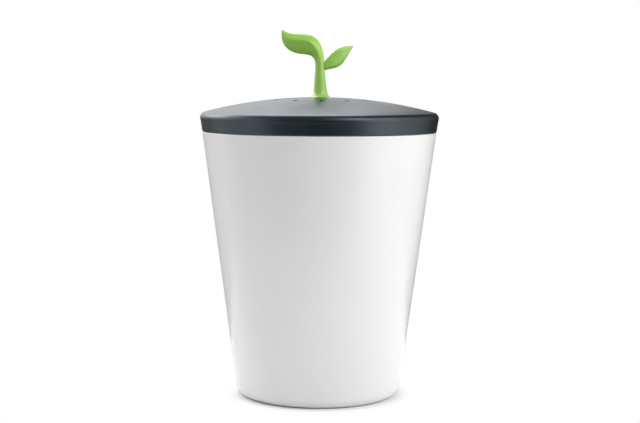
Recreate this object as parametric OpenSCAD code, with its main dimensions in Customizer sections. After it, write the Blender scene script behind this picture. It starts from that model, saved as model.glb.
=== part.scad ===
// Countertop compost caddy: a tapered stoneware crock, a plastic bucket that hangs in it by its
// flange, a lift-off domed lid with a ring of vents and a filter under it, and a sprout pull.
// Millimetres. Origin at the centre of the foot, +Z up, the side that faces the viewer at -Y.

/* [Crock] */
// Height of the crock, foot to rim
crock_h = 211; // [180:1:240]
// Outer radius of the rim
crock_r = 93.2; // [84:0.1:104]
// Radius where the wall, carried on down, would meet the table
crock_base_r = 65; // [60:0.5:72]
// Thickness of the wall
crock_wall = 6; // [5:0.1:6.8]
// Thickness of the floor
crock_floor = 8; // [6:0.5:12]
// Rounding of the outer corner at the foot
foot_round = 8; // [4:0.5:12]
// Width of the unglazed foot ring
foot_ring_w = 7; // [4:0.5:12]
// Depth of the hollow inside the foot ring
foot_hollow = 1.2; // [0.5:0.1:2.5]
// Rounding of both edges of the rim
rim_round = 0.7; // [0.4:0.1:2.4]

/* [Bucket] */
// Thickness of the bucket's wall
bucket_wall = 1.8; // [1.2:0.1:2.4]
// Thickness of the bucket's floor
bucket_floor = 2; // [1.4:0.1:3]
// Gap between the bucket and the crock, all round
bucket_gap = 1.5; // [0.6:0.1:3]
// Gap under the bucket's floor
under_gap = 4; // [1:0.5:12]
// Rounding of the bucket's corner at its floor
bucket_round = 7; // [4:0.5:12]
// Thickness of the flange that hangs on the crock's rim
flange_t = 2; // [1.4:0.1:3]
// How far the flange's edge lies inside the rim's outer edge
flange_set_back = 2.4; // [2:0.1:3]
// Rounding of the flange's upper edges and of the seal's lower ones
edge_round = 0.6; // [0.2:0.1:0.9]

/* [Bail] */
// Thickness of the strap
bail_t = 3; // [2:0.1:4]
// Width of the strap
bail_w = 8; // [6:0.5:9]
// Diameter of the eye round each pivot pin
eye_d = 12; // [10:0.5:14]
// Height of the flange's top above the pivot
pivot_drop = 8; // [7.5:0.5:14]
// Diameter of the pivot pins
pin_d = 5; // [4:0.1:6]
// Radial clearance of the pins in the bucket's bosses
pin_clear = 0.07; // [0.02:0.01:0.1]
// How far the pins stop short of the bucket's outer face
pin_short = 0.5; // [0.2:0.1:1]
// Diameter of the bosses inside the bucket
pivot_boss_d = 13; // [10:0.5:15]
// How far the bosses stand in from the bucket's wall
pivot_boss_in = 4.4; // [3:0.1:6]
// Side gap between each boss and the bail
bail_gap = 0.5; // [0.3:0.1:1]

/* [Lid] */
// How far the lid's widest line stands out past the crock's rim
lid_overhang = 1.8; // [1.6:0.1:3]
// How far the skirt's lower edge lies in from the widest line
skirt_lean = 1.7; // [0.6:0.1:1.8]
// Gap between the skirt's lower edge and the crock's rim
lid_gap = 0.3; // [0.2:0.05:1.2]
// Height of the lid's widest line above the crock's rim
shoulder_up = 11; // [9:0.5:14]
// Rounding of the shoulder between skirt and dome
shoulder_round = 4.8; // [3.5:0.1:6]
// Angle that the shoulder's rounding runs on below the widest line
shoulder_under = 24; // [10:1:40]
// Rise of the dome from the shoulder to its middle
dome_rise = 11.8; // [9:0.1:18]
// Thickness of the lid's shell
shell_t = 2.2; // [1.6:0.1:2.6]

/* [Vents] */
// Vent slots round the dome
vent_count = 12; // [6:1:16]
// Radius of the ring of vents
vent_ring_r = 40; // [30:1:44]
// Width of a vent slot
vent_w = 2.6; // [1.6:0.1:4]
// Length of a vent slot
vent_l = 5.6; // [4.5:0.1:8]
// Turn of the ring of vents from the front
vent_turn = 2; // [0:1:15]

/* [Seal and liner] */
// Height of the silicone seal
seal_h = 3; // [2.4:0.1:4]
// Width of the seal
seal_w = 4.4; // [3:0.1:4.6]
// Clearance of the seal in its groove, each side
seal_clear = 0.3; // [0.1:0.05:0.5]
// Thickness of the liner
liner_t = 2; // [1.5:0.1:2.6]
// Thickness of the ribs beside the seal
groove_rib_t = 1; // [0.6:0.1:1.2]
// How far the seal stands proud of the ribs beside it
seal_proud = 1.2; // [0.8:0.1:1.6]
// Thickness of the ring inside the shell that the liner seats on
seat_ring_t = 2; // [1.4:0.1:3]
// Screws that hold the liner up
liner_screw_count = 4; // [3:1:6]
// Diameter of a liner screw's shank
liner_screw_d = 2.9; // [2.2:0.1:3.4]
// Length of a liner screw under its head
liner_screw_l = 9.5; // [7:0.5:10]
// Diameter of a liner screw's head
liner_head_d = 5.6; // [4.6:0.1:6.4]
// Height of a liner screw's head
liner_head_h = 2.2; // [1.6:0.1:3]
// Diameter of the bosses that take the liner screws
liner_boss_d = 7; // [6:0.5:9]
// Radial clearance of a screw, insert or peg in its hole
fit_clear = 0.05; // [0.02:0.01:0.1]

/* [Filter] */
// Radius of the carbon filter
filter_r = 49.4; // [46:0.1:53]
// Thickness of the carbon filter
filter_t = 8.8; // [6:0.1:11]
// Gap between the filter and the wall of its housing
filter_gap = 0.6; // [0.3:0.1:1]
// Width of the ledge above the filter
filter_ledge = 4; // [2:0.5:6]
// Thickness of the housing's wall
housing_wall = 2.4; // [2:0.1:3]
// How far the housing's wall reaches below the cover
housing_lip = 0.6; // [0.4:0.1:1.5]
// Depth of the bayonet groove in the housing's wall
bayonet_depth = 1.3; // [1:0.1:1.4]
// Thickness of the filter cover
cover_t = 2.4; // [2.2:0.1:3]
// Gap between the filter and its cover
cover_gap = 0.2; // [0.1:0.1:0.4]
// Gap between the cover's edge and the housing
cover_clear = 0.8; // [0.5:0.1:1]
// Thickness of a bayonet lug
lug_t = 1.4; // [1:0.1:1.6]
// Angle that a bayonet lug covers
lug_angle = 12; // [8:1:18]
// Turn from locked to free
bayonet_turn = 30; // [20:1:40]
// Clearance round the bayonet lugs
lug_clear = 0.3; // [0.2:0.05:0.4]
// Width of a slot in the cover
grille_slot_w = 4; // [2:0.5:5]
// Width of a bar between two slots
grille_bar_w = 3; // [2:0.5:5]
// Height of the finger grip under the cover
grip_h = 7; // [4:0.5:10]
// Length of the finger grip
grip_l = 46; // [30:1:60]
// Thickness of the finger grip
grip_t = 3; // [2.5:0.5:5]

/* [Sprout] */
// Thickness of the large leaf, front to back
large_leaf_t = 11; // [8:0.5:13]
// Thickness of the small leaf, front to back
small_leaf_t = 8; // [5:0.5:9]
// Angle that the small leaf leans back
small_leaf_lean = 11; // [0:1:20]
// Angle that the small leaf's face is turned outwards
small_leaf_twist = 17; // [0:1:25]
// Diameter of the brass insert in the stem
insert_d = 5.6; // [5.2:0.1:6.4]
// Length of the insert
insert_l = 8; // [6:0.5:9]
// Depth of the insert's face in the stem's foot
insert_sink = 0.5; // [0.2:0.1:1]
// Diameter of the screw's shank
sprout_screw_d = 4; // [3:0.1:4.4]
// Length of the screw under its head
sprout_screw_l = 12; // [9.5:0.5:13]
// Diameter of the screw's head
sprout_head_d = 8; // [6.5:0.5:9]
// Height of the screw's head
sprout_head_h = 3; // [2:0.1:4]
// Diameter of the washer
washer_d = 9; // [8.8:0.1:12]
// Thickness of the washer
washer_t = 0.8; // [0.5:0.1:1.2]
// Thickness added under the shell where the screw passes
sprout_boss_t = 3; // [2:0.5:4]
// Diameter of the two pegs that stop the sprout turning
peg_d = 2.4; // [1.6:0.1:2.6]
// Length of the pegs
peg_l = 2; // [1.4:0.1:3]
// Distance of each peg from the stem's axis
peg_r = 7; // [6:0.1:7.4]
// Wall left round the pegs' holes
peg_wall = 1.4; // [1:0.1:2]

/* [Hidden] */
$fn = 96;

GLAZE = [0.93, 0.93, 0.92];
CHARCOAL = [0.17, 0.19, 0.21];
SPROUT_GREEN = [0.50, 0.72, 0.27];
BUCKET_GREEN = [0.62, 0.78, 0.42];
SILICONE = [0.75, 0.76, 0.76];
CARBON = [0.10, 0.10, 0.10];
BRASS = [0.78, 0.64, 0.30];
STEEL = [0.72, 0.73, 0.75];

eps = 0.01;
over = 1;            // how far a cutter runs past the face that it opens
arc_step = 12;       // largest turn between two points of a rounded corner, in degrees
dome_steps = 16;     // chords that stand for the dome's arc
shoulder_steps = 8;  // chords that stand for the shoulder's arc

// Wall of the crock and of the bucket: both lean by the same slope
slope = (crock_r - crock_base_r) / crock_h;
lean = atan(slope);
crock_in_r = crock_r - crock_wall;
function crock_out_at(z) = crock_r - (crock_h - z) * slope;
function crock_in_at(z) = crock_in_r - (crock_h - z) * slope;
foot_flat_r = crock_out_at(0) - foot_round * tan((90 - lean) / 2);

// Bucket
bucket_out_r = crock_in_r - bucket_gap;
function bucket_out_at(z) = bucket_out_r - (crock_h - z) * slope;
function bucket_in_at(z) = bucket_out_at(z) - bucket_wall / cos(lean);
bucket_z = crock_floor + under_gap;
flange_top = crock_h + flange_t;
flange_r = crock_r - flange_set_back;
mouth_r = bucket_in_at(flange_top);

// Bail
pivot_z = flange_top - pivot_drop;
boss_face_x = bucket_in_at(pivot_z) - pivot_boss_in;
bail_r = boss_face_x - bail_gap;
pin_end_x = bucket_out_at(pivot_z) - pin_short;

// Seal and liner, stacked on the flange
seal_mid_r = (flange_r + mouth_r) / 2;
liner_z = flange_top + seal_h;
liner_top = liner_z + liner_t;
groove_in_r = seal_mid_r - seal_w / 2 - seal_clear;
groove_out_r = seal_mid_r + seal_w / 2 + seal_clear;
liner_r = groove_out_r + groove_rib_t;
hole_play = 0.2;     // radial clearance of a screw in a plain hole
first_screw = 45;    // direction of the first liner screw, in degrees from +X

// Filter housing, hung under the liner
housing_in_r = filter_r + filter_gap;
housing_out_r = housing_in_r + housing_wall;
filter_z = liner_z - filter_t;
cover_top = filter_z - cover_gap;
cover_z = cover_top - cover_t;
housing_z = cover_z - housing_lip;
lug_z = cover_z + (cover_t - lug_t) / 2;
lug_out_r = housing_in_r + bayonet_depth - lug_clear;
cover_r = housing_in_r - cover_clear;
lug_count = 3;
first_lug = 20;      // direction of the first lug, in degrees from +X
bayonet_play = 1.5;  // clearance at each end of a lug, in degrees

// Lid shell
lid_r = crock_r + lid_overhang;
skirt_z = crock_h + lid_gap;
shoulder_z = crock_h + shoulder_up;
shoulder_c = lid_r - shoulder_round;
edge_guess = 2 * atan(dome_rise / shoulder_c);
edge_slope = 2 * atan(dome_rise / (shoulder_c + shoulder_round * sin(edge_guess)));
dome_edge_r = shoulder_c + shoulder_round * sin(edge_slope);
dome_edge_z = shoulder_z + shoulder_round * cos(edge_slope);
dome_R = dome_edge_r / sin(edge_slope);
dome_c = dome_edge_z - dome_R * cos(edge_slope);
function dome_at(r, inset = 0) = dome_c + sqrt((dome_R - inset) * (dome_R - inset) - r * r);
seat_ring_r = groove_in_r + seat_ring_t;
liner_screw_r = (housing_out_r + seat_ring_r - seat_ring_t) / 2;

// Sprout and its screw
foot_r = 10.4;       // radius of the sprout's foot
seat_z = dome_at(foot_r);
boss_low = dome_at(0, shell_t) - sprout_boss_t;
sprout_boss_r = peg_r + peg_d / 2 + peg_wall;
washer_z = boss_low - washer_t;
insert_z = seat_z + insert_sink;

// Stem and large leaf, in millimetres above the seat: outer edge x z, inner edge x z, how far across
// the ridge lies, half thickness, and how sharp the ridge is: 1 gives two flat faces, 0 an oval, and
// less than 0 a broader, flatter one
leaf_h = large_leaf_t / 2;
LARGE = [
    [foot_r, 0.0, -foot_r, 0.0, 0.50, foot_r, 0.0],
    [8.4, 0.4, -8.2, 0.4, 0.50, 8.3, 0.0],
    [7.3, 1.2, -6.2, 1.2, 0.50, 6.8, 0.0],
    [6.3, 2.8, -5.1, 2.8, 0.50, 5.7, 0.0],
    [5.8, 5.2, -4.7, 5.2, 0.50, 5.2, 0.0],
    [5.2, 9.2, -4.5, 9.2, 0.50, 4.9, 0.0],
    [4.7, 14.0, -4.2, 14.0, 0.50, 4.5, 0.0],
    [4.1, 19.0, -3.9, 19.0, 0.50, 4.2, 0.0],
    [3.8, 22.5, -3.7, 22.5, 0.50, 4.0, 0.0],
    [3.6, 26.0, -3.6, 25.6, 0.50, 3.9, 0.0],
    [3.3, 30.0, -3.9, 28.8, 0.48, 0.72 * leaf_h, 0.1],
    [2.9, 34.5, -5.2, 31.4, 0.45, 0.80 * leaf_h, 0.25],
    [1.6, 39.7, -7.2, 33.0, 0.42, 0.89 * leaf_h, 0.4],
    [-0.9, 44.6, -9.9, 33.6, 0.37, 0.96 * leaf_h, 0.55],
    [-5.0, 48.1, -13.0, 33.9, 0.31, leaf_h, 0.65],
    [-9.4, 49.7, -17.1, 34.3, 0.30, 0.98 * leaf_h, 0.7],
    [-14.0, 50.1, -21.3, 35.3, 0.33, 0.91 * leaf_h, 0.7],
    [-18.5, 50.0, -25.3, 37.6, 0.38, 0.80 * leaf_h, 0.7],
    [-22.6, 50.1, -28.4, 40.8, 0.42, 0.65 * leaf_h, 0.7],
    [-26.0, 51.0, -30.2, 44.6, 0.40, 0.47 * leaf_h, 0.6],
    [-28.4, 52.2, -30.6, 48.4, 0.40, 0.27 * leaf_h, 0.5],
    [-29.9, 53.7, -30.6, 52.4, 0.50, 0.10 * leaf_h, 0.0]
];
// Small leaf, the same way, from inside the stem to its tip
small_h = small_leaf_t / 2;
SMALL = [
    [1.8, 21.0, 1.0, 25.6, 0.50, 0.50 * small_h, 0.0],
    [4.6, 21.4, 3.0, 27.6, 0.50, 0.625 * small_h, -0.1],
    [8.6, 22.6, 5.0, 30.2, 0.48, 0.75 * small_h, -0.2],
    [13.0, 23.4, 7.8, 33.6, 0.44, 0.875 * small_h, -0.3],
    [16.6, 25.2, 10.9, 36.6, 0.40, 0.93 * small_h, -0.35],
    [19.2, 28.2, 14.4, 39.0, 0.38, 0.90 * small_h, -0.35],
    [21.6, 32.2, 18.2, 40.4, 0.38, 0.775 * small_h, -0.3],
    [23.8, 36.0, 21.8, 40.8, 0.40, 0.575 * small_h, -0.2],
    [25.6, 38.9, 24.6, 41.0, 0.45, 0.325 * small_h, -0.1],
    [26.6, 40.3, 26.2, 40.9, 0.50, 0.13 * small_h, 0.0]
];
ring_points = 16;
root_rows = 4;       // rows over which a leaf takes up its lean and twist

function unit(v) = v / norm(v);

// Arc of radius r that rounds the corner b on the way from a to c
function corner(a, b, c, r) = r <= 0 ? [b] :
    let (u = unit(a - b), v = unit(c - b),
         half = acos(u * v) / 2,
         centre = b + unit(u + v) * r / sin(half),
         start = b + u * r / tan(half) - centre,
         from = atan2(start.y, start.x),
         sweep = sign(cross(b - a, c - b)) * (180 - 2 * half),
         n = ceil(abs(sweep) / arc_step))
    [for (i = [0:n]) centre + r * [cos(from + sweep * i / n), sin(from + sweep * i / n)]];

// Outline with its corners rounded: each entry is x, y and the corner's radius
function outline(p) = let (n = len(p))
    [for (i = [0:n - 1])
        let (a = p[(i + n - 1) % n], b = p[i], c = p[(i + 1) % n])
        each corner([a.x, a.y], [b.x, b.y], [c.x, c.y], b.z)];

function arc(x, y, r, from, to, n) =
    [for (i = [0:n]) let (a = from + (to - from) * i / n) [x + r * cos(a), y + r * sin(a)]];

// Half section of the solid under the lid's outer face, set in by inset, open down to the skirt's
// lower edge or, as a cutter, to a little below it
function lid_section(inset, below = 0) = let (low_r = lid_r - skirt_lean - inset) concat(
    [[0, skirt_z - below], [low_r, skirt_z - below]],
    below > 0 ? [[low_r, skirt_z]] : [],
    arc(shoulder_c, shoulder_z, shoulder_round - inset, -shoulder_under, 90 - edge_slope, shoulder_steps),
    [for (i = [1:dome_steps]) let (a = edge_slope * (1 - i / dome_steps))
        [(dome_R - inset) * sin(a), dome_c + (dome_R - inset) * cos(a)]]);

// Ring of points across one station of a leaf: an oval, or a kite with a ridge on each side. It is
// moved back by so much, and its inner edge is turned forwards by the slope given
function station(s, back, turn) = [for (k = [0:ring_points - 1])
    let (a = 360 * k / ring_points,
         share = cos(a) > 0 ? s[4] * (1 - cos(a)) : s[4] - (1 - s[4]) * cos(a),
         half = s[5] * ((1 - s[6]) * sin(a) + s[6] * sign(sin(a)) * (1 - abs(cos(a)))),
         across = norm([s[2] - s[0], s[3] - s[1]]),
         y = half + back + turn * (0.5 - share) * across)
    [s[0] + (s[2] - s[0]) * share, y, s[1] + (s[3] - s[1]) * share]];

// Solid through a row of stations, which leans back and twists as it grows
module loft(rows, lean_back = 0, twist = 0) {
    n = ring_points;
    last = len(rows) - 1;
    points = [for (i = [0:last]) let (grown = min(1, i / root_rows))
        each station(rows[i], tan(lean_back) * (rows[i][0] - rows[0][0]) * grown, tan(twist) * grown)];
    sides = [for (i = [0:last - 1], k = [0:n - 1])
        let (a = i * n + k, b = i * n + (k + 1) % n)
        each [[a, a + n, b], [b, a + n, b + n]]];
    caps = [for (k = [1:n - 2]) each [[0, k, k + 1], [last * n, last * n + k + 1, last * n + k]]];
    polyhedron(points, concat(sides, caps));
}

// Slot with round ends along X, for cutting down through a sheet
module slot(length, width, depth) {
    reach = (length - width) / 2;
    translate([-reach, -width / 2, 0]) cube([2 * reach, width, depth]);
    for (side = [-1, 1]) translate([side * reach, 0, 0]) cylinder(d = width, h = depth);
}

// Piece of a ring: inner and outer radius, heights, middle angle and width in degrees
module ring_part(r1, r2, z1, z2, middle, width) {
    rotate([0, 0, middle - width / 2]) rotate_extrude(angle = width)
        translate([r1, z1]) square([r2 - r1, z2 - z1]);
}

// Pan-head screw, head down, with a cross recess that keeps the same share of every head
module pan_screw(d, length, head_d, head_h) {
    head_round = 0.45 * head_h;
    recess_l = 0.56 * head_d;
    recess_w = 0.12 * head_d;
    recess_h = 0.5 * head_h;
    cylinder(d = d, h = length);
    translate([0, 0, -head_h]) difference() {
        rotate_extrude() polygon(outline([
            [0, 0, 0], [head_d / 2, 0, head_round], [head_d / 2, head_h, 0], [0, head_h, 0]]));
        translate([0, 0, -eps]) for (turn = [0, 90]) rotate([0, 0, turn])
            translate([-recess_l / 2, -recess_w / 2, 0]) cube([recess_l, recess_w, recess_h]);
    }
}

module at_liner_screws() {
    for (i = [0:liner_screw_count - 1]) rotate([0, 0, first_screw + 360 * i / liner_screw_count])
        translate([liner_screw_r, 0, 0]) children();
}

module at_lugs() {
    for (i = [0:lug_count - 1]) rotate([0, 0, first_lug + 360 * i / lug_count]) children();
}

// Glazed stoneware, thrown with a foot ring and a rounded rim
module crock() color(GLAZE) {
    hollow_r = foot_flat_r - foot_ring_w;
    rotate_extrude() polygon(outline([
        [0, foot_hollow, 0],
        [hollow_r - foot_hollow, foot_hollow, 0],
        [hollow_r, 0, 0],
        [crock_out_at(0), 0, foot_round],
        [crock_r, crock_h, rim_round],
        [crock_in_r, crock_h, rim_round],
        [crock_in_at(crock_floor), crock_floor, foot_round],
        [0, crock_floor, 0]]));
}

// Half section of the bucket's outside, set in by inset, up to the flange's top
function bucket_section(inset) = outline([
    [0, bucket_z, 0],
    [bucket_out_at(bucket_z) - inset, bucket_z, bucket_round],
    [bucket_out_at(flange_top) - inset, flange_top, 0],
    [0, flange_top, 0]]);

// Moulded pail with a flange that hangs on the crock's rim and a boss for each bail pin
module bucket() color(BUCKET_GREEN) {
    inner_floor = bucket_z + bucket_floor;
    difference() {
        union() {
            rotate_extrude() polygon(outline([
                [0, bucket_z, 0],
                [bucket_out_at(bucket_z), bucket_z, bucket_round],
                [bucket_out_at(crock_h), crock_h, 0],
                [flange_r, crock_h, 0],
                [flange_r, flange_top, edge_round],
                [mouth_r, flange_top, edge_round],
                [bucket_in_at(inner_floor), inner_floor, bucket_round - bucket_wall],
                [0, inner_floor, 0]]));
            for (side = [-1, 1]) intersection() {
                translate([side * boss_face_x, 0, pivot_z]) rotate([0, side * 90, 0])
                    cylinder(d = pivot_boss_d, h = pivot_boss_in + bucket_wall + over);
                rotate_extrude() polygon(bucket_section(bucket_wall / 2));
            }
        }
        for (side = [-1, 1]) translate([side * (boss_face_x - over), 0, pivot_z]) rotate([0, side * 90, 0])
            cylinder(d = pin_d + 2 * pin_clear, h = pivot_boss_in + bucket_wall + 4 * over);
    }
}

// Moulded strap, folded down round the back of the bucket's mouth
module bail_handle() color(BUCKET_GREEN) {
    rotate_extrude(angle = 180) translate([bail_r - bail_t, pivot_z - bail_w / 2]) square([bail_t, bail_w]);
    for (side = [-1, 1]) translate([0, 0, pivot_z]) rotate([0, side * 90, 0]) {
        translate([0, 0, bail_r - bail_t]) cylinder(d = eye_d, h = bail_t);
        translate([0, 0, bail_r - bail_t / 2]) cylinder(d = pin_d, h = pin_end_x - bail_r + bail_t / 2);
    }
}

// Domed shell with its skirt, vents, screw bosses, the ring the liner seats on and the sprout's seat
module lid_shell() color(CHARCOAL) {
    difference() {
        union() {
            difference() {
                rotate_extrude() polygon(lid_section(0));
                rotate_extrude() polygon(lid_section(shell_t, over));
            }
            intersection() {
                union() {
                    ring_part(seat_ring_r - seat_ring_t, seat_ring_r, liner_top, dome_at(0), 0, 360);
                    at_liner_screws() translate([0, 0, liner_top])
                        cylinder(d = liner_boss_d, h = dome_at(0) - liner_top);
                    translate([0, 0, boss_low]) cylinder(r = sprout_boss_r, h = dome_at(0) - boss_low);
                }
                rotate_extrude() polygon(lid_section(shell_t / 2));
            }
        }
        translate([0, 0, seat_z]) cylinder(r = foot_r + over, h = shell_t);
        for (i = [0:vent_count - 1]) rotate([0, 0, vent_turn - 90 + 360 * i / vent_count])
            translate([vent_ring_r, 0, dome_at(vent_ring_r + vent_l, shell_t) - over])
                slot(vent_l, vent_w, 3 * shell_t + over);
        at_liner_screws() translate([0, 0, liner_top - over])
            cylinder(d = liner_screw_d + 2 * fit_clear, h = liner_screw_l - liner_t + 2 * over);
        translate([0, 0, boss_low - over])
            cylinder(d = sprout_screw_d + 2 * fit_clear, h = seat_z - boss_low + 2 * over);
        for (side = [-1, 1]) translate([side * peg_r, 0, seat_z - peg_l - fit_clear])
            cylinder(d = peg_d + 2 * fit_clear, h = peg_l + over);
    }
}

// Inner pan: closes the shell, grips the seal and carries the filter housing with its bayonet grooves
module lid_liner() color(CHARCOAL) {
    rib_z = flange_top + seal_proud;
    ledge_r = housing_in_r - filter_ledge;
    groove_end = lug_angle / 2 + bayonet_play;
    difference() {
        rotate_extrude() polygon([
            [ledge_r, liner_z], [housing_in_r, liner_z],
            [housing_in_r, housing_z], [housing_out_r, housing_z],
            [housing_out_r, liner_z], [groove_in_r - groove_rib_t, liner_z],
            [groove_in_r - groove_rib_t, rib_z], [groove_in_r, rib_z],
            [groove_in_r, liner_z], [groove_out_r, liner_z],
            [groove_out_r, rib_z], [liner_r, rib_z],
            [liner_r, liner_top], [ledge_r, liner_top]]);
        at_lugs() {
            ring_part(housing_in_r - over, housing_in_r + bayonet_depth,
                lug_z - lug_clear, lug_z + lug_t + lug_clear,
                bayonet_turn / 2, bayonet_turn + 2 * (groove_end + bayonet_play));
            ring_part(housing_in_r - over, housing_in_r + bayonet_depth,
                housing_z - over, lug_z + lug_t, bayonet_turn, 2 * groove_end);
        }
        at_liner_screws() translate([0, 0, liner_z - over])
            cylinder(d = liner_screw_d + 2 * hole_play, h = liner_t + 2 * over);
    }
}

module liner_screws() color(STEEL) {
    at_liner_screws() translate([0, 0, liner_z])
        pan_screw(liner_screw_d, liner_screw_l, liner_head_d, liner_head_h);
}

// Soft ring between the liner and the bucket's flange
module lid_seal() color(SILICONE) {
    rotate_extrude() polygon(outline([
        [seal_mid_r - seal_w / 2, flange_top, edge_round], [seal_mid_r + seal_w / 2, flange_top, edge_round],
        [seal_mid_r + seal_w / 2, liner_z, 0], [seal_mid_r - seal_w / 2, liner_z, 0]]));
}

// Disc of carbon foam, pushed up against the liner's ledge
module carbon_filter() color(CARBON) {
    translate([0, 0, filter_z]) cylinder(r = filter_r, h = filter_t);
}

// Slotted cover that turns in the housing to lock, with a finger grip across its underside
module filter_cover() color(CHARCOAL) {
    pitch = grille_slot_w + grille_bar_w;
    field_r = cover_r - grille_bar_w;
    rows = floor((field_r - grille_slot_w) / pitch);
    difference() {
        translate([0, 0, cover_z]) cylinder(r = cover_r, h = cover_t);
        for (row = [1:rows], side = [-1, 1])
            translate([0, side * row * pitch, cover_z - over])
                slot(2 * sqrt(field_r * field_r - pow(row * pitch + grille_slot_w / 2, 2)),
                    grille_slot_w, cover_t + 2 * over);
    }
    at_lugs() ring_part(cover_r - over, lug_out_r, lug_z, lug_z + lug_t, 0, lug_angle);
    translate([0, 0, cover_z - grip_h]) slot(grip_l, grip_t, grip_h + over);
}

// Moulded sprout: a stem that swells into a large leaf, with a small leaf at its side and two pegs
module sprout_knob() color(SPROUT_GREEN) {
    bore_top = max(insert_z + insert_l, washer_z + sprout_screw_l) + over / 2;
    difference() {
        union() {
            translate([0, 0, seat_z]) loft(LARGE);
            translate([0, 0, seat_z]) loft(SMALL, small_leaf_lean, small_leaf_twist);
            for (side = [-1, 1]) translate([side * peg_r, 0, seat_z - peg_l])
                cylinder(d = peg_d, h = peg_l + eps);
        }
        translate([0, 0, seat_z - over])
            cylinder(d = insert_d + 2 * fit_clear, h = insert_z + insert_l - seat_z + over);
        translate([0, 0, seat_z - over])
            cylinder(d = sprout_screw_d + 2 * fit_clear, h = bore_top - seat_z + over);
    }
}

module sprout_insert() color(BRASS) {
    translate([0, 0, insert_z]) difference() {
        cylinder(d = insert_d, h = insert_l);
        translate([0, 0, -over]) cylinder(d = sprout_screw_d + 2 * fit_clear, h = insert_l + 2 * over);
    }
}

module sprout_screw() color(STEEL) {
    translate([0, 0, washer_z]) pan_screw(sprout_screw_d, sprout_screw_l, sprout_head_d, sprout_head_h);
}

module sprout_washer() color(STEEL) {
    translate([0, 0, washer_z]) difference() {
        cylinder(d = washer_d, h = washer_t);
        translate([0, 0, -over]) cylinder(d = sprout_screw_d + 2 * hole_play, h = washer_t + 2 * over);
    }
}

crock();
bucket();
bail_handle();
lid_shell();
lid_liner();
liner_screws();
lid_seal();
carbon_filter();
filter_cover();
sprout_knob();
sprout_insert();
sprout_screw();
sprout_washer();
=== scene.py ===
import math

import bpy
from mathutils import Matrix, Vector


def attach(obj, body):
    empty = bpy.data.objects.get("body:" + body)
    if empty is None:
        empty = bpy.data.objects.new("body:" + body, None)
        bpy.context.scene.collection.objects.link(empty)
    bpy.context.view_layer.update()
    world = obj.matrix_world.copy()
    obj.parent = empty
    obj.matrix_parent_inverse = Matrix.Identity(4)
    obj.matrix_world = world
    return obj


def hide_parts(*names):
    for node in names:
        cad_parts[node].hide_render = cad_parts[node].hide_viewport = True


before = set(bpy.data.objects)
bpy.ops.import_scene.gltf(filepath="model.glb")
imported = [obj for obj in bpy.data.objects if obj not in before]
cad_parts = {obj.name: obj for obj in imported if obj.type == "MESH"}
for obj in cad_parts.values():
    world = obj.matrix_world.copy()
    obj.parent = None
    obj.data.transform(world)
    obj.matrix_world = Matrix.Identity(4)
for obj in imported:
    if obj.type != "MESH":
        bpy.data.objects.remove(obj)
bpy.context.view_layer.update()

# ---- Crock -------------------------------------------------------------------------------------
# The heavy outer pot: stoneware, cast with a wall that leans out evenly from a rounded foot to a
# soft rim, and dipped in a thick white glaze. Only the ring that it stands on is wiped bare, so
# that the glaze doesn't weld it to the kiln shelf.

crock_height = 0.211
crock_rim = 0.0932
crock_base = 0.065
crock_lean = (crock_rim - crock_base) / crock_height
crock_low = 0.07            # heights at which the tall wall is divided
crock_mid = 0.14
crock_wall = 0.006
crock_floor = 0.008
foot_rounding = 0.008
foot_ring_in = 0.0510
foot_hollow = 0.0012
rim_rounding = 0.0007
hair = 1e-6                 # points closer than this are one
over = 0.001                # how far a cut, or a part that is joined, reaches past a face

bpy.context.tool_settings.mesh_select_mode = (True, False, False)


def pick(piece, test):
    """Selects the points of a piece that pass a test, and nothing else."""
    bpy.ops.object.mode_set(mode="OBJECT")
    for part in (piece.data.polygons, piece.data.edges, piece.data.vertices):
        part.foreach_set("select", [False] * len(part))
    for point in piece.data.vertices:
        point.select = bool(test(point.co))
    bpy.ops.object.mode_set(mode="EDIT")


def only(piece):
    """Leaves this piece as the one that is selected."""
    bpy.ops.object.select_all(action="DESELECT")
    piece.select_set(True)
    bpy.context.view_layer.objects.active = piece


def smooth(piece, angle=32):
    """Smooth shading that keeps edges sharper than the angle, with flat faces left flat."""
    only(piece)
    bpy.ops.object.shade_smooth_by_angle(angle=math.radians(angle))
    even = piece.modifiers.new("even", "WEIGHTED_NORMAL")
    even.keep_sharp = True
    bpy.ops.object.modifier_apply(modifier=even.name)


def turned(name, corners, closed=False, steps=192):
    """A round piece: half of its section is drawn corner by corner, each a radius, a height and
    a rounding, and spun about the axis. A closed section joins its last corner to its first."""
    bpy.ops.object.select_all(action="DESELECT")
    bpy.ops.mesh.primitive_plane_add(size=0.001)
    piece = bpy.context.object
    piece.name = piece.data.name = name
    bpy.ops.object.mode_set(mode="EDIT")
    bpy.ops.mesh.merge(type="CENTER")
    bpy.ops.transform.translate(value=(corners[0][0], 0, corners[0][1]))
    line = [Vector((r, 0, z)) for r, z, _ in corners]
    for here, there in zip(line, line[1:] + line[:closed]):
        bpy.ops.mesh.extrude_vertices_move(TRANSFORM_OT_translate={"value": there - here})
    bpy.ops.mesh.select_all(action="SELECT")
    bpy.ops.mesh.remove_doubles(threshold=hair)
    for i, here in enumerate(line):
        if corners[i][2]:
            back, on = line[i - 1] - here, line[(i + 1) % len(line)] - here
            half = back.angle(on) / 2
            pick(piece, lambda at: (at - here).length < 10 * hair)
            bpy.ops.mesh.bevel(affect="VERTICES", offset=corners[i][2] / math.tan(half),
                               segments=max(3, round((math.pi - 2 * half) / math.radians(9))))
    bpy.ops.mesh.select_all(action="SELECT")
    bpy.ops.mesh.spin(steps=steps, angle=2 * math.pi, center=(0, 0, 0), axis=(0, 0, 1))
    bpy.ops.mesh.select_all(action="SELECT")
    bpy.ops.mesh.remove_doubles(threshold=hair)
    bpy.ops.mesh.normals_make_consistent(inside=False)
    bpy.ops.object.mode_set(mode="OBJECT")
    return piece


def crock_out(height):
    return crock_rim - (crock_height - height) * crock_lean


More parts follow.
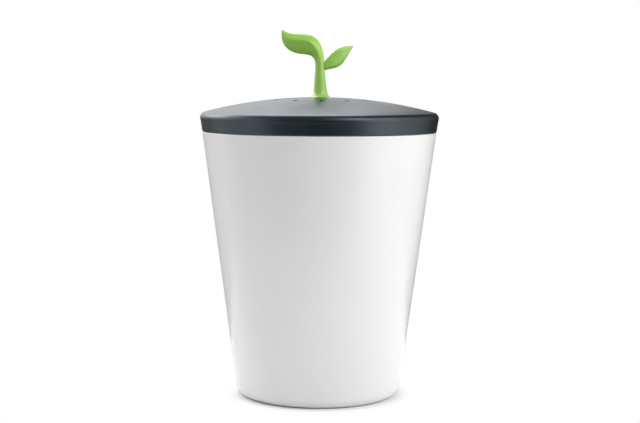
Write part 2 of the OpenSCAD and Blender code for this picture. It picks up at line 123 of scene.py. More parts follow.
crock = turned("crock_body", [
    (0, foot_hollow, 0),
    (foot_ring_in - foot_hollow, foot_hollow, 0.0006),
    (foot_ring_in, 0, 0.0005),
    (crock_out(0), 0, foot_rounding),
    (crock_out(crock_low), crock_low, 0),
    (crock_out(crock_mid), crock_mid, 0),
    (crock_rim, crock_height, rim_rounding),
    (crock_rim - crock_wall, crock_height, rim_rounding),
    (crock_out(crock_mid) - crock_wall, crock_mid, 0),
    (crock_out(crock_low) - crock_wall, crock_low, 0),
    (crock_out(crock_floor) - crock_wall, crock_floor, foot_rounding),
    (0, crock_floor, 0)])
smooth(crock)


def finish(name, light, dark, patch, roughness, grain, depth, **shader_values):
    """A material: its colour drifts between two tones over patches of this size, and its surface
    has a grain of this size and depth, all in metres. The rest goes on the shader's own sockets."""
    made = bpy.data.materials.new(name)
    made.use_nodes = True
    nodes, links = made.node_tree.nodes, made.node_tree.links
    shader = nodes["Principled BSDF"]
    place = nodes.new("ShaderNodeTexCoord")
    drift = nodes.new("ShaderNodeTexNoise")
    drift.inputs["Scale"].default_value = 1 / patch
    drift.inputs["Detail"].default_value = 3
    tone = nodes.new("ShaderNodeMix")
    tone.name, tone.data_type = "tone", "RGBA"
    tone.inputs["A"].default_value = (*dark, 1)
    tone.inputs["B"].default_value = (*light, 1)
    gloss = nodes.new("ShaderNodeMapRange")
    gloss.name = "gloss"
    gloss.inputs["From Min"].default_value, gloss.inputs["From Max"].default_value = 0.3, 0.7
    gloss.inputs["To Min"].default_value, gloss.inputs["To Max"].default_value = roughness
    pits = nodes.new("ShaderNodeTexNoise")
    pits.name = "grain"
    pits.inputs["Scale"].default_value = 1 / grain
    pits.inputs["Detail"].default_value = 2
    bump = nodes.new("ShaderNodeBump")
    bump.name = "bump"
    bump.inputs["Strength"].default_value = 1
    bump.inputs["Distance"].default_value = depth
    links.new(place.outputs["Object"], drift.inputs["Vector"])
    links.new(place.outputs["Object"], pits.inputs["Vector"])
    links.new(drift.outputs["Fac"], tone.inputs["Factor"])
    links.new(drift.outputs["Fac"], gloss.inputs["Value"])
    links.new(pits.outputs["Fac"], bump.inputs["Height"])
    links.new(tone.outputs["Result"], shader.inputs["Base Color"])
    links.new(gloss.outputs["Result"], shader.inputs["Roughness"])
    links.new(bump.outputs["Normal"], shader.inputs["Normal"])
    for socket, value in shader_values.items():
        shader.inputs[socket.replace("_", " ")].default_value = value
    return made


# The glaze is a touch warmer and duller where it thins; below bare_z the clay shows
bare_z = 0.0005
clay = (0.52, 0.45, 0.36, 1)
clay_roughness = 0.9
glaze = finish("white_glaze", (0.845, 0.845, 0.845), (0.825, 0.825, 0.82), 0.06,
               (0.20, 0.26), 0.004, 0.00001)
nodes, links = glaze.node_tree.nodes, glaze.node_tree.links
place = nodes.new("ShaderNodeTexCoord")
height = nodes.new("ShaderNodeSeparateXYZ")
bare = nodes.new("ShaderNodeMapRange")
bare.inputs["From Min"].default_value = bare_z * 0.6
bare.inputs["From Max"].default_value = bare_z
bare.inputs["To Min"].default_value, bare.inputs["To Max"].default_value = 1, 0
body_tone = nodes.new("ShaderNodeMix")
body_tone.data_type = "RGBA"
body_tone.inputs["B"].default_value = clay
body_gloss = nodes.new("ShaderNodeMix")
body_gloss.inputs["B"].default_value = clay_roughness
links.new(place.outputs["Object"], height.inputs["Vector"])
links.new(height.outputs["Z"], bare.inputs["Value"])
links.new(bare.outputs["Result"], body_tone.inputs["Factor"])
links.new(bare.outputs["Result"], body_gloss.inputs["Factor"])
links.new(nodes["tone"].outputs["Result"], body_tone.inputs["A"])
links.new(nodes["gloss"].outputs["Result"], body_gloss.inputs["A"])
links.new(body_tone.outputs["Result"], nodes["Principled BSDF"].inputs["Base Color"])
links.new(body_gloss.outputs["Result"], nodes["Principled BSDF"].inputs["Roughness"])

crock.data.materials.append(glaze)
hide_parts("crock")
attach(crock, "crock")

# ---- Bucket ------------------------------------------------------------------------------------
# The pail that lifts out to be emptied: moulded polypropylene, thin and slightly see-through in
# the hand. It hangs on the crock's rim by its flange, and two bosses inside its mouth take the
# bail's pins.

bucket_rim = 0.0857
bucket_wall = 0.0018
bucket_foot_z = 0.012
bucket_floor = 0.002
bucket_rounding = 0.007
flange_r = 0.0908
flange_top = 0.213
mouth_r = 0.08415
pivot_z = 0.205
boss_d = 0.013
boss_face_x = 0.0787
pin_hole_d = 0.00514
bucket_low = 0.08           # heights at which the tall wall is divided
bucket_mid = 0.15
boss_trim_z = 0.18          # height from which the bosses are trimmed to the wall
boss_end_x = 0.09
pin_hole_x = 0.07


def bucket_out(height):
    return bucket_rim - (crock_height - height) * crock_lean


def bucket_in(height):
    return mouth_r - (flange_top - height) * crock_lean


def combine(piece, other, operation):
    """Joins, cuts or trims a piece with another one, which is used up."""
    only(piece)
    step = piece.modifiers.new("combine", "BOOLEAN")
    step.operation, step.solver, step.object = operation, "EXACT", other
    bpy.ops.object.modifier_apply(modifier=step.name)
    bpy.data.objects.remove(other)


def peg(name, d, start, end, sides=48):
    """A plain round peg from start to end, for joining to a piece or cutting from it."""
    start, end = Vector(start), Vector(end)
    bpy.ops.object.select_all(action="DESELECT")
    bpy.ops.mesh.primitive_cylinder_add(
        vertices=sides, radius=d / 2, depth=(end - start).length, location=(start + end) / 2,
        rotation=(end - start).to_track_quat("Z", "Y").to_euler())
    bpy.ops.object.transform_apply(location=True, rotation=True, scale=True)
    bpy.context.object.name = name
    return bpy.context.object


bucket = turned("bucket_body", [
    (0, bucket_foot_z, 0),
    (bucket_out(bucket_foot_z), bucket_foot_z, bucket_rounding),
    (bucket_out(bucket_low), bucket_low, 0),
    (bucket_out(bucket_mid), bucket_mid, 0),
    (bucket_rim, crock_height, 0),
    (flange_r, crock_height, 0.0003),
    (flange_r, flange_top, 0.0006),
    (mouth_r, flange_top, 0.0006),
    (bucket_in(bucket_mid), bucket_mid, 0),
    (bucket_in(bucket_low), bucket_low, 0),
    (bucket_in(bucket_foot_z + bucket_floor), bucket_foot_z + bucket_floor, bucket_rounding - bucket_wall),
    (0, bucket_foot_z + bucket_floor, 0)])
for side in (-1, 1):
    boss = peg("boss", boss_d, (side * boss_face_x, 0, pivot_z), (side * boss_end_x, 0, pivot_z))
    core = turned("core", [
        (0, boss_trim_z, 0),
        (bucket_out(boss_trim_z) - bucket_wall / 2, boss_trim_z, 0),
        (bucket_out(flange_top) - bucket_wall / 2, flange_top, 0),
        (0, flange_top, 0)])
    combine(boss, core, "INTERSECT")
    combine(bucket, boss, "UNION")
    hole = peg("hole", pin_hole_d, (side * pin_hole_x, 0, pivot_z), (side * boss_end_x, 0, pivot_z))
    combine(bucket, hole, "DIFFERENCE")
smooth(bucket)

bucket_green = finish("bucket_polypropylene", (0.50, 0.68, 0.26), (0.45, 0.63, 0.22), 0.05,
                      (0.34, 0.42), 0.0008, 0.000012,
                      Subsurface_Weight=0.15, Subsurface_Scale=0.003)
bucket.data.materials.append(bucket_green)
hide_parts("bucket")
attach(bucket, "bucket")

# ---- Bail --------------------------------------------------------------------------------------
# The pail's handle: one moulded strap that lies folded round the back of the mouth, with an eye
# and a pin at each end. The pins snap outwards into the bucket's bosses and turn there.

bail_r = 0.0782
bail_t = 0.003
bail_w = 0.008
eye_d = 0.012
pin_d = 0.005
pin_end_x = 0.0844



def soften(piece, width, segments):
    """Bevels every edge that is sharper than 50 degrees."""
    edge = piece.modifiers.new("edge", "BEVEL")
    edge.width, edge.segments = width, segments
    edge.limit_method, edge.angle_limit = "ANGLE", math.radians(50)
    only(piece)
    bpy.ops.object.modifier_apply(modifier=edge.name)


# Blender's spin runs clockwise seen from above, so a negative angle lays the strap round the back
bpy.ops.object.select_all(action="DESELECT")
bpy.ops.mesh.primitive_plane_add(size=1, location=(bail_r - bail_t / 2, 0, pivot_z),
                                 rotation=(math.pi / 2, 0, 0))
bail = bpy.context.object
bail.name = bail.data.name = "bail_strap"
bail.scale = (bail_t, bail_w, 1)
bpy.ops.object.transform_apply(location=True, rotation=True, scale=True)
bpy.ops.object.mode_set(mode="EDIT")
bpy.ops.mesh.select_all(action="SELECT")
bpy.ops.mesh.spin(steps=96, angle=-math.pi, center=(0, 0, 0), axis=(0, 0, 1))
bpy.ops.mesh.select_all(action="SELECT")
bpy.ops.mesh.remove_doubles(threshold=hair)
bpy.ops.mesh.normals_make_consistent(inside=False)
bpy.ops.object.mode_set(mode="OBJECT")
for side in (-1, 1):
    eye = peg("eye", eye_d, (side * (bail_r - bail_t), 0, pivot_z), (side * bail_r, 0, pivot_z), 64)
    combine(bail, eye, "UNION")
    pin = peg("pin", pin_d, (side * (bail_r - bail_t / 2), 0, pivot_z), (side * pin_end_x, 0, pivot_z))
    combine(bail, pin, "UNION")
soften(bail, 0.0004, 3)
smooth(bail)
bail.data.materials.append(bucket_green)
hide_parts("bail_handle")
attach(bail, "bail")

# ---- Lid shell ---------------------------------------------------------------------------------
# The domed lid: charcoal plastic with a fine eroded grain, moulded in one piece with its skirt,
# the ring that its liner seats on, four screw bosses and a thick middle for the sprout. A ring of
# slots lets the caddy breathe.

lid_r = 0.095
skirt_z = 0.2113
skirt_r = 0.0933
shoulder_z = 0.222
shoulder_rounding = 0.0048
shoulder_under = math.radians(24)
dome_rise = 0.0118
shell_t = 0.0022
seat_ring_out = 0.08698
seat_ring_in = 0.08498
liner_top = 0.218
sprout_boss_z = 0.23324
sprout_boss_r = 0.0096
sprout_hole_r = 0.00205
seat_r = 0.0104
liner_screw_r = 0.06869
liner_boss_d = 0.007
liner_screw_hole_d = 0.003
vents = 12
vent_r = 0.040
vent_w = 0.0026
vent_l = 0.0056
vent_turn = math.radians(2)
vent_low = 0.228
vent_high = 0.242
liner_screw_hole_l = 0.0085

# The slope at which the shoulder runs into the dome, found in a few rounds
shoulder_c = lid_r - shoulder_rounding
edge_slope = 2 * math.atan(dome_rise / shoulder_c)
for _ in range(4):
    edge_slope = 2 * math.atan(dome_rise / (shoulder_c + shoulder_rounding * math.sin(edge_slope)))
dome_edge_r = shoulder_c + shoulder_rounding * math.sin(edge_slope)
dome_radius = dome_edge_r / math.sin(edge_slope)
dome_centre = shoulder_z + shoulder_rounding * math.cos(edge_slope) - dome_radius * math.cos(edge_slope)


def dome(r, inset=0):
    """Height of the dome's face, or of its underside, at this radius."""
    return dome_centre + math.sqrt((dome_radius - inset) ** 2 - r * r)


def shoulder(inset, steps):
    """The bend from skirt to dome, as corners of a section."""
    start, end = -shoulder_under, math.pi / 2 - edge_slope
    turns = [start + (end - start) * i / steps for i in range(steps + 1)]
    return [(shoulder_c + (shoulder_rounding - inset) * math.cos(a),
             shoulder_z + (shoulder_rounding - inset) * math.sin(a), 0) for a in turns]


def dome_line(start, end, steps, inset=0):
    """Corners of the dome's section between two radii, both left out."""
    radii = [start + (end - start) * i / steps for i in range(1, steps)]
    return [(r, dome(r, inset), 0) for r in radii]


lid = turned("lid_dome", [
    (sprout_hole_r, dome(seat_r), 0), (seat_r, dome(seat_r), 0),
    *dome_line(seat_r, dome_edge_r, 24),
    *reversed(shoulder(0, 14)),
    (skirt_r, skirt_z, 0.0008), (skirt_r - shell_t, skirt_z, 0.0005),
    *shoulder(shell_t, 6),
    *dome_line(dome_edge_r - shell_t * math.sin(edge_slope), seat_ring_out, 2, shell_t),
    (seat_ring_out, dome(seat_ring_out, shell_t), 0), (seat_ring_out, liner_top, 0),
    (seat_ring_in, liner_top, 0), (seat_ring_in, dome(seat_ring_in, shell_t), 0),
    *dome_line(seat_ring_in, sprout_boss_r, 14, shell_t),
    (sprout_boss_r, dome(sprout_boss_r, shell_t), 0), (sprout_boss_r, sprout_boss_z, 0),
    (sprout_hole_r, sprout_boss_z, 0)], closed=True)


def as_one(parts):
    """Joins loose parts into the first of them."""
    only(parts[0])
    for part in parts:
        part.select_set(True)
    bpy.ops.object.join()
    return parts[0]


def round_again(piece, count, first):
    """Copies a piece in a ring about the axis, and joins the copies into one."""
    copies = []
    for i in range(count):
        copy = bpy.data.objects.new(f"{piece.name}_{i}", piece.data.copy())
        copy.data.transform(Matrix.Rotation(first + 2 * math.pi * i / count, 4, "Z"))
        bpy.context.collection.objects.link(copy)
        copies.append(copy)
    bpy.data.objects.remove(piece)
    return as_one(copies)


def ring_of_pegs(name, d, radius, low, high, count=4, first=math.pi / 4):
    return round_again(peg(name, d, (radius, 0, low), (radius, 0, high)), count, first)


vent_in = vent_r - vent_l / 2 + vent_w / 2
slot = peg("slot", vent_w, (vent_in, 0, vent_low), (vent_in, 0, vent_high), 32)
pick(slot, lambda at: at.x > vent_in + hair)
bpy.ops.transform.translate(value=(vent_l - vent_w, 0, 0))
bpy.ops.object.mode_set(mode="OBJECT")
combine(lid, round_again(slot, vents, vent_turn - math.pi / 2), "DIFFERENCE")
screw_boss = ring_of_pegs("screw_boss", liner_boss_d, liner_screw_r,
                          liner_top, dome(liner_screw_r) - shell_t / 2)
combine(lid, screw_boss, "UNION")
screw_hole = ring_of_pegs("screw_hole", liner_screw_hole_d, liner_screw_r,
                          liner_top - over, liner_top + liner_screw_hole_l)
combine(lid, screw_hole, "DIFFERENCE")
smooth(lid)

charcoal = finish("charcoal_plastic", (0.0075, 0.0100, 0.0130), (0.0062, 0.0087, 0.0115), 0.03,
                  (0.34, 0.40), 0.0008, 0.000008, Specular_Tint=(0.70, 0.88, 1.0, 1), Specular_IOR_Level=0.95)
lid.data.materials.append(charcoal)
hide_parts("lid_shell")
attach(lid, "lid")

# ---- Lid liner ---------------------------------------------------------------------------------
# The pan that closes the lid from below, moulded in the same charcoal plastic: two ribs grip the
# seal, and a round wall hangs down to house the filter. Three bayonet grooves are cut into it.

liner_z = 0.216
groove_in = 0.08498
groove_out = 0.08998
rib_t = 0.001
rib_z = 0.2142
housing_in = 0.050
housing_out = 0.0524
housing_z = 0.204
ledge_r = 0.046
bayonet_r = 0.0513
lug_low = 0.2051
lug_high = 0.2065
lug_clear = 0.0003
lugs = 3
first_lug = math.radians(20)
lug_angle = math.radians(12)
lug_play = math.radians(1.5)
lug_turn = math.radians(30)
plain_hole_d = 0.0033

liner = turned("lid_pan", [
    (ledge_r, liner_z, 0.0003), (housing_in, liner_z, 0), (housing_in, housing_z, 0.0003),
    (housing_out, housing_z, 0.0006), (housing_out, liner_z, 0.0008),
    (groove_in - rib_t, liner_z, 0.0004), (groove_in - rib_t, rib_z, 0.0003),
    (groove_in, rib_z, 0.0003), (groove_in, liner_z, 0),
    (groove_out, liner_z, 0), (groove_out, rib_z, 0.0003),
    (groove_out + rib_t, rib_z, 0.0003), (groove_out + rib_t, liner_top, 0),
    (ledge_r, liner_top, 0)], closed=True)


def ring_piece(name, inner, outer, low, high, middle, width, steps=12):
    """A piece of a ring with a square section, about the axis."""
    bpy.ops.object.select_all(action="DESELECT")
    bpy.ops.mesh.primitive_plane_add(size=1, rotation=(math.pi / 2, 0, 0))
    piece = bpy.context.object
    piece.name = name
    piece.scale = (outer - inner, high - low, 1)
    piece.location = ((inner + outer) / 2, 0, (low + high) / 2)
    bpy.ops.object.transform_apply(location=True, rotation=True, scale=True)
    bpy.ops.object.mode_set(mode="EDIT")
    bpy.ops.mesh.select_all(action="SELECT")
    bpy.ops.mesh.spin(steps=steps, angle=width, center=(0, 0, 0), axis=(0, 0, 1))
    bpy.ops.mesh.select_all(action="SELECT")
    bpy.ops.mesh.normals_make_consistent(inside=False)
    bpy.ops.object.mode_set(mode="OBJECT")
    first = min(math.atan2(point.co.y, point.co.x) for point in piece.data.vertices)
    piece.data.transform(Matrix.Rotation(middle - width / 2 - first, 4, "Z"))
    return piece


groove_half = lug_angle / 2 + lug_play
track = ring_piece("track", housing_in - over, bayonet_r, lug_low - lug_clear, lug_high + lug_clear,
                   lug_turn / 2, lug_turn + 2 * (groove_half + lug_play), 24)
combine(liner, round_again(track, lugs, first_lug), "DIFFERENCE")
way_in = ring_piece("way_in", housing_in - over, bayonet_r, housing_z - over, lug_high,
                    lug_turn, 2 * groove_half)
combine(liner, round_again(way_in, lugs, first_lug), "DIFFERENCE")
combine(liner, ring_of_pegs("screw_hole", plain_hole_d, liner_screw_r, liner_z - over, liner_top + over),
        "DIFFERENCE")
smooth(liner)
liner.data.materials.append(charcoal)
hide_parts("lid_liner")
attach(liner, "lid")

# ---- Liner screws ------------------------------------------------------------------------------
# Four zinc-plated pan-head screws hold the liner up against the shell's bosses. The modelled
# screws keep their shape, and get the plating's faint grain.

steel = finish("zinc_plated_steel", (0.66, 0.66, 0.68), (0.58, 0.58, 0.60), 0.002,
               (0.28, 0.40), 0.0004, 0.000004, Metallic=1.0)


def coat(node, material):
    """Gives a CAD node its finish."""
    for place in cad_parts[node].material_slots:
        place.material = material


coat("liner_screws", steel)

# ---- Lid seal ----------------------------------------------------------------------------------
# A soft ring of translucent grey silicone, pressed into the liner's groove. Its two lower edges are
# rounded where it meets the bucket's flange.

seal_in = 0.08528
seal_out = 0.08968

seal = turned("seal_ring", [
    (seal_in, flange_top, 0.0006), (seal_out, flange_top, 0.0006),
    (seal_out, liner_z, 0), (seal_in, liner_z, 0)], closed=True)
smooth(seal, 40)
silicone = finish("grey_silicone", (0.56, 0.57, 0.57), (0.51, 0.52, 0.52), 0.02,
                  (0.42, 0.52), 0.0006, 0.000006,
                  Subsurface_Weight=0.3, Subsurface_Scale=0.003)
seal.data.materials.append(silicone)
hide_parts("lid_seal")
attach(seal, "lid")

# ---- Carbon filter -----------------------------------------------------------------------------
# A disc of black foam loaded with carbon, punched from a sheet, so its edge pulls in a little at
# mid-thickness. It is pushed up against the liner's ledge.

filter_r = 0.0494
filter_z = 0.2072
waist = 0.0004

carbon = turned("foam_disc", [
    (0, filter_z, 0), (filter_r, filter_z, 0.0008),
    (filter_r - waist, (filter_z + liner_z) / 2, 0.006),
    (filter_r, liner_z, 0.0008), (0, liner_z, 0)])
smooth(carbon, 40)
foam = finish("carbon_foam", (0.030, 0.030, 0.031), (0.012, 0.012, 0.013), 0.003,
              (0.85, 0.95), 0.0009, 0.0006)
carbon.data.materials.append(foam)
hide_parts("carbon_filter")
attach(carbon, "lid")

# ---- Filter cover ------------------------------------------------------------------------------
# A slotted disc, moulded in the lid's plastic, that holds the filter up. Its three lugs run in the
# liner's bayonet grooves, and a fin across the underside is the grip to turn it by.

cover_r = 0.0492
cover_low = 0.2046
cover_high = 0.207
grille_w = 0.004
grille_pitch = 0.007
grille_rim = 0.003
grille_rows = 6             # slots on each side of the grip
field_r = cover_r - grille_rim
lug_r = 0.051
grip_l = 0.046
grip_t = 0.003
grip_z = 0.1976


def long_peg(name, length, width, y, low, high, sides=32):
    """A bar with round ends along X: a round peg, turned half a step so that no corner lies on its
    middle, whose halves are moved apart."""
    piece = peg(name, width, (0, 0, low), (0, 0, high), sides)
    piece.data.transform(Matrix.Rotation(math.pi / sides, 4, "Z"))
    for point in piece.data.vertices:
        point.co.x += math.copysign((length - width) / 2, point.co.x)
        point.co.y += y
    return piece


cover = peg("grille", 2 * cover_r, (0, 0, cover_low), (0, 0, cover_high), 192)
slots = []
for row in range(1, grille_rows + 1):
    for side in (-1, 1):
        length = 2 * math.sqrt(field_r ** 2 - (row * grille_pitch + grille_w / 2) ** 2)
        slots.append(long_peg("slot", length, grille_w, side * row * grille_pitch,
                              cover_low - over, cover_high + over))
combine(cover, as_one(slots), "DIFFERENCE")
lug = ring_piece("lug", cover_r - over, lug_r, lug_low, lug_high, 0, lug_angle)
combine(cover, round_again(lug, lugs, first_lug), "UNION")
combine(cover, long_peg("grip", grip_l, grip_t, 0, grip_z, cover_low + over), "UNION")
soften(cover, 0.0003, 2)
smooth(cover)
cover.data.materials.append(charcoal)
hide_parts("filter_cover")
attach(cover, "filter_cover")

# ---- Sprout ------------------------------------------------------------------------------------
# The pull: a soft-looking green sprout, moulded solid. Its stem swells out of a small flare, bends
# over and opens into a large ridged leaf, and a small leaf grows from its side. A brass insert is
# set in its foot, and two pegs stop it turning.

sprout_seat = dome(seat_r)
# Each row: outer edge x z, inner edge x z, where the ridge lies between them, half thickness and
# how sharp the ridge is; less than 0 is a broader, flatter oval. Millimetres, above the seat.
large_leaf = [
    (10.4, 0.0, -10.4, 0.0, 0.50, 10.4, 0.0),
    (8.4, 0.4, -8.2, 0.4, 0.50, 8.3, 0.0),
    (7.3, 1.2, -6.2, 1.2, 0.50, 6.8, 0.0),
    (6.3, 2.8, -5.1, 2.8, 0.50, 5.7, 0.0),
    (5.8, 5.2, -4.7, 5.2, 0.50, 5.2, 0.0),
    (5.2, 9.2, -4.5, 9.2, 0.50, 4.9, 0.0),
    (4.7, 14.0, -4.2, 14.0, 0.50, 4.5, 0.0),
    (4.1, 19.0, -3.9, 19.0, 0.50, 4.2, 0.0),
    (3.8, 22.5, -3.7, 22.5, 0.50, 4.0, 0.0),
    (3.6, 26.0, -3.6, 25.6, 0.50, 3.9, 0.0),
    (3.3, 30.0, -3.9, 28.8, 0.48, 3.96, 0.1),
    (2.9, 34.5, -5.2, 31.4, 0.45, 4.4, 0.25),
    (1.6, 39.7, -7.2, 33.0, 0.42, 4.9, 0.4),
    (-0.9, 44.6, -9.9, 33.6, 0.37, 5.28, 0.55),
    (-5.0, 48.1, -13.0, 33.9, 0.31, 5.5, 0.65),
    (-9.4, 49.7, -17.1, 34.3, 0.30, 5.39, 0.7),
    (-14.0, 50.1, -21.3, 35.3, 0.33, 5.0, 0.7),
    (-18.5, 50.0, -25.3, 37.6, 0.38, 4.4, 0.7),
    (-22.6, 50.1, -28.4, 40.8, 0.42, 3.58, 0.7),
    (-26.0, 51.0, -30.2, 44.6, 0.40, 2.58, 0.6),
    (-28.4, 52.2, -30.6, 48.4, 0.40, 1.48, 0.5),
    (-29.9, 53.7, -30.6, 52.4, 0.50, 0.55, 0.0)]
small_leaf = [
    (1.8, 21.0, 1.0, 25.6, 0.50, 2.0, 0.0),
    (4.6, 21.4, 3.0, 27.6, 0.50, 2.5, -0.1),
    (8.6, 22.6, 5.0, 30.2, 0.48, 3.0, -0.2),
    (13.0, 23.4, 7.8, 33.6, 0.44, 3.5, -0.3),
    (16.6, 25.2, 10.9, 36.6, 0.40, 3.72, -0.35),
    (19.2, 28.2, 14.4, 39.0, 0.38, 3.6, -0.35),
    (21.6, 32.2, 18.2, 40.4, 0.38, 3.1, -0.3),
    (23.8, 36.0, 21.8, 40.8, 0.40, 2.3, -0.2),
    (25.6, 38.9, 24.6, 41.0, 0.45, 1.3, -0.1),
    (26.6, 40.3, 26.2, 40.9, 0.50, 0.52, 0.0)]
small_leaf_lean = math.radians(11)
small_leaf_twist = math.radians(17)
root_rows = 4               # rows over which a leaf takes up its lean and twist
ring_points = 16
ridge_crease = 0.6          # crease of a fully sharp ridge
swell = 1.02                # makes up for what the smoothing takes off
ridge = 4                   # point of the ring that lies on the ridge, and one opposite
insert_hole_d = 0.0057
insert_top = 0.2468
peg_d = 0.0024
peg_x = 0.007
peg_l = 0.002
peg_root = 0.0001           # how far a peg reaches up into the foot


def station(row, back, twist):
    """Points across one row of a leaf: round in the stem, a lens with a ridge in the blade. The
    row is moved back by so much, and its inner edge is turned forwards."""
    x1, z1, x2, z2, share, half, sharp = row
    points = []
    for k in range(ring_points):
        a = 2 * math.pi * k / ring_points
        along = share * (1 - math.cos(a)) if math.cos(a) > 0 else share - (1 - share) * math.cos(a)
        out = half * ((1 - sharp) * math.sin(a)
                      + sharp * math.copysign(1 - abs(math.cos(a)), math.sin(a)))
        out += back + twist * (0.5 - along) * math.hypot(x2 - x1, z2 - z1)
        middle = Vector(((x1 + x2) / 2, back, (z1 + z2) / 2))
        point = Vector((x1 + (x2 - x1) * along, out, z1 + (z2 - z1) * along))
        points.append((middle + (point - middle) * swell) * 0.001 + Vector((0, 0, sprout_seat)))
    return points


def grown(name, rows, lean=0, twist=0):
    """A leaf: a ring is laid at each row, neighbours are bridged, the ends are capped, and the
    whole is smoothed with its ridge and its foot kept crisp. It takes up its lean and twist over
    its first rows."""
    rings = []
    for i, row in enumerate(rows):
        bpy.ops.object.select_all(action="DESELECT")
        bpy.ops.mesh.primitive_circle_add(vertices=ring_points, radius=0.001)
        ring = bpy.context.object
        grow = min(1, i / root_rows)
        back = math.tan(lean) * (row[0] - rows[0][0]) * grow
        for point, at in zip(ring.data.vertices, station(row, back, math.tan(twist) * grow)):
            point.co = at
        rings.append(ring)
    leaf = as_one(rings)
    leaf.name = leaf.data.name = name
    for i in range(len(rows) - 1):
        pair = set(range(i * ring_points, (i + 2) * ring_points))
        corners = {tuple(leaf.data.vertices[n].co) for n in pair}
        pick(leaf, lambda at: tuple(at) in corners)
        bpy.ops.mesh.bridge_edge_loops()
    bpy.ops.mesh.select_all(action="SELECT")
    bpy.ops.mesh.fill_holes(sides=ring_points)
    bpy.ops.mesh.normals_make_consistent(inside=False)
    bpy.ops.object.mode_set(mode="OBJECT")
    crease = leaf.data.attributes.new("crease_edge", "FLOAT", "EDGE")
    for edge in leaf.data.edges:
        a, b = sorted(edge.vertices)
        if b - a == ring_points and a % ring_points in (ridge, ridge + ring_points // 2):
            crease.data[edge.index].value = ridge_crease * max(0, rows[a // ring_points][6])
        elif b < ring_points:
            crease.data[edge.index].value = 1
    only(leaf)
    soft = leaf.modifiers.new("soft", "SUBSURF")
    soft.levels = soft.render_levels = 3
    bpy.ops.object.modifier_apply(modifier=soft.name)
    return leaf


sprout = grown("sprout", large_leaf)
combine(sprout, grown("side_leaf", small_leaf, small_leaf_lean, small_leaf_twist), "UNION")
for side in (-1, 1):
    combine(sprout, peg("peg", peg_d, (side * peg_x, 0, sprout_seat - peg_l),
                        (side * peg_x, 0, sprout_seat + peg_root), 24), "UNION")
combine(sprout, peg("bore", insert_hole_d, (0, 0, sprout_seat - over), (0, 0, insert_top)), "DIFFERENCE")
smooth(sprout, 50)

sprout_green = finish("sprout_plastic", (0.39, 0.70, 0.125), (0.35, 0.65, 0.105), 0.02,
                      (0.26, 0.34), 0.0009, 0.000004, Specular_IOR_Level=0.7,
                      Subsurface_Weight=0.15, Subsurface_Scale=0.003, Subsurface_Radius=(0.6, 1, 0.3))
sprout.data.materials.append(sprout_green)
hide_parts("sprout_knob")
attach(sprout, "lid")

# ---- Sprout's insert, screw and washer ---------------------------------------------------------
# A turned brass insert is moulded into the stem's foot, and a steel screw and washer pull it down
# from inside the lid. They keep their modelled shapes.

brass = finish("turned_brass", (0.72, 0.53, 0.24), (0.64, 0.46, 0.19), 0.002,
               (0.24, 0.34), 0.0003, 0.000004, Metallic=1.0)
coat("sprout_insert", brass)
coat("sprout_screw", steel)
coat("sprout_washer", steel)

# ---- Floor, light and camera -------------------------------------------------------------------
# A small white table in front of a white backdrop, with soft boxes at its sides, above and behind.
# The table ends shortly behind the caddy, so that the crock's edges mirror little of it, and in
# front, where the room is dim, so that the lid's skirt stays dark.

table = (-0.5, 0.5, -0.35, 0.18)
contact_r = 0.066           # from here to open_r the table brightens in reflections
open_r = 0.10
table_lift = 0.12
white_from = 0.060          # from here to white_at the table turns white to the camera
white_at = 0.076
room_light = 0.32
dim_front, dim_right, dim_below = 0.2, 0.05, 0.15


def ray_kind(nodes, links, *kinds):
    """1 for the kinds of ray that are named, and 0 for the rest."""
    path = nodes.new("ShaderNodeLightPath")
    total = path.outputs[kinds[0]]
    for kind in kinds[1:]:
        add = nodes.new("ShaderNodeMath")
        add.operation, add.use_clamp = "ADD", True
        links.new(total, add.inputs[0])
        links.new(path.outputs[kind], add.inputs[1])
        total = add.outputs["Value"]
    return total


def ramp(nodes, links, value, low, high, start=0, end=1):
    """Goes softly from start to end as the value goes from low to high."""
    rise = nodes.new("ShaderNodeMapRange")
    rise.interpolation_type = "SMOOTHSTEP"
    rise.inputs["From Min"].default_value, rise.inputs["From Max"].default_value = low, high
    rise.inputs["To Min"].default_value, rise.inputs["To Max"].default_value = start, end
    links.new(value, rise.inputs["Value"])
    return rise.outputs["Result"]


def joined(nodes, links, a, b, operation="MULTIPLY"):
    both = nodes.new("ShaderNodeMath")
    both.operation = operation
    links.new(a, both.inputs[0])
    links.new(b, both.inputs[1])
    return both.outputs["Value"]


bpy.ops.object.select_all(action="DESELECT")
bpy.ops.mesh.primitive_plane_add(size=1)
floor = bpy.context.object
floor.name = "floor"
for point in floor.data.vertices:
    point.co = (table[0] if point.co.x < 0 else table[1], table[2] if point.co.y < 0 else table[3], 0)
sweep = bpy.data.materials.new("white_sweep")
sweep.use_nodes = True
nodes, links = sweep.node_tree.nodes, sweep.node_tree.links
nodes.remove(nodes["Principled BSDF"])
place = nodes.new("ShaderNodeTexCoord")
away = nodes.new("ShaderNodeVectorMath")
away.operation = "LENGTH"
links.new(place.outputs["Object"], away.inputs[0])
paper = nodes.new("ShaderNodeBsdfDiffuse")
paper.inputs["Color"].default_value = (0.85, 0.85, 0.85, 1)
lift = nodes.new("ShaderNodeEmission")
lift.name = "lift"
lit = nodes.new("ShaderNodeAddShader")
white = nodes.new("ShaderNodeEmission")
white.name = "white"
either = nodes.new("ShaderNodeMixShader")
seen = ray_kind(nodes, links, "Is Camera Ray", "Is Glossy Ray", "Is Transmission Ray")
brighter = ramp(nodes, links, away.outputs["Value"], contact_r, open_r, 0, table_lift)
links.new(joined(nodes, links, seen, brighter), lift.inputs["Strength"])
camera_only = ray_kind(nodes, links, "Is Camera Ray")
whiter = ramp(nodes, links, away.outputs["Value"], white_from, white_at)
links.new(joined(nodes, links, camera_only, whiter), either.inputs["Fac"])
links.new(paper.outputs["BSDF"], lit.inputs[0])
links.new(lift.outputs["Emission"], lit.inputs[1])
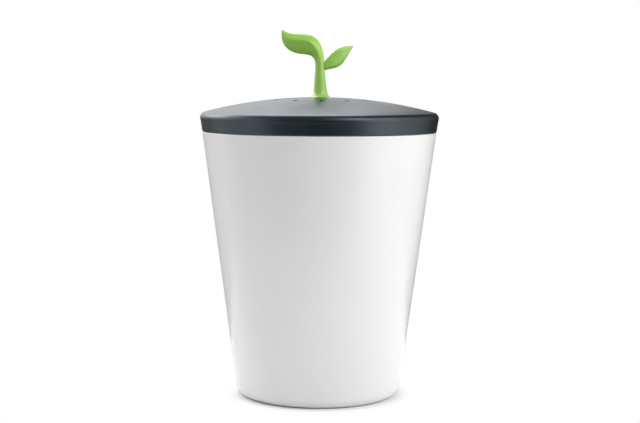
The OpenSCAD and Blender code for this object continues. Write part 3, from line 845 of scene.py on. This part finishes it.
links.new(lit.outputs["Shader"], either.inputs[1])
links.new(white.outputs["Emission"], either.inputs[2])
links.new(either.outputs["Shader"], nodes["Material Output"].inputs["Surface"])
floor.data.materials.append(sweep)

# The backdrop: plain white to the camera. In reflections it is white behind the caddy, falls off
# to the right and below the table, and is dim in front.
world = bpy.data.worlds.new("studio")
bpy.context.scene.world = world
world.use_nodes = True
nodes, links = world.node_tree.nodes, world.node_tree.links
room = nodes["Background"]
room.inputs["Color"].default_value = (1, 1, 1, 1)
room.inputs["Strength"].default_value = room_light
backdrop = nodes.new("ShaderNodeBackground")
backdrop.name = "backdrop"
backdrop.inputs["Color"].default_value = (1, 1, 1, 1)
place = nodes.new("ShaderNodeTexCoord")
way = nodes.new("ShaderNodeSeparateXYZ")
links.new(place.outputs["Generated"], way.inputs["Vector"])
behind = joined(nodes, links, ramp(nodes, links, way.outputs["Y"], -0.2, 0.4, dim_front, 1),
                ramp(nodes, links, way.outputs["X"], -0.4, 0.4, 1, dim_right))
behind = joined(nodes, links, behind, ramp(nodes, links, way.outputs["Z"], -0.05, 0.05, dim_below, 1))
links.new(joined(nodes, links, behind, ray_kind(nodes, links, "Is Camera Ray"), "MAXIMUM"),
          backdrop.inputs["Strength"])
either = nodes.new("ShaderNodeMixShader")
links.new(ray_kind(nodes, links, "Is Camera Ray", "Is Glossy Ray", "Is Transmission Ray"),
          either.inputs["Fac"])
links.new(room.outputs["Background"], either.inputs[1])
links.new(backdrop.outputs["Background"], either.inputs[2])
links.new(either.outputs["Shader"], nodes["World Output"].inputs["Surface"])

centre = Vector((0, 0, 0.14))


def softbox(name, azimuth, elevation, distance, width, height, power):
    """A rectangular lamp aimed at the caddy: azimuth 0 is in front of it, 90 at its right."""
    lamp = bpy.data.lights.new(name, "AREA")
    lamp.shape, lamp.size, lamp.size_y, lamp.energy = "RECTANGLE", width, height, power
    box = bpy.data.objects.new(name, lamp)
    a, e = math.radians(azimuth), math.radians(elevation)
    away = Vector((math.sin(a) * math.cos(e), -math.cos(a) * math.cos(e), math.sin(e)))
    box.location = centre + away * distance
    box.rotation_euler = away.to_track_quat("Z", "Y").to_euler()
    box.visible_camera = False
    bpy.context.collection.objects.link(box)


# Azimuth and elevation in degrees, distance, width and height in metres, and power in watts
softbox("right_side", 75, 5, 1.6, 1.6, 1.8, 7.3)
softbox("right_front", 58, 5, 1.6, 1.2, 1.8, 6.6)
softbox("right_back", 110, 5, 1.6, 0.9, 1.8, 2.2)
softbox("right_high", 40, 40, 1.8, 0.8, 1.0, 9.5)
softbox("right_above", 80, 36, 1.8, 0.5, 0.5, 2.5)
softbox("left_side", -90, 5, 1.6, 1.9, 1.8, 6.6)
softbox("left_front", -60, 5, 1.6, 0.8, 1.8, 2.2)
softbox("over_the_back", 197, 55, 1.8, 1.3, 1.0, 15)
softbox("behind", 190, 25, 1.8, 1.2, 0.8, 2.6)
softbox("left_behind", 235, 30, 1.8, 0.9, 0.9, 11.5)

# The camera stands at the photograph's place: 1.15 m away, a hand's width above the lid
lens_px = 1438.15
image_w = 640
pitch = 0.0944
roll = 0.006
eye = bpy.data.cameras.new("camera")
eye.sensor_width = 36
eye.lens = lens_px * eye.sensor_width / image_w
camera = bpy.data.objects.new("camera", eye)
camera.location = (0.00084, -1.1492, 0.25568)
camera.rotation_euler = (Matrix.Rotation(math.pi / 2 - pitch, 3, "X")
                         @ Matrix.Rotation(roll, 3, "Z")).to_euler()
bpy.context.collection.objects.link(camera)
bpy.context.scene.camera = camera
bpy.context.scene.view_settings.view_transform = "Standard"
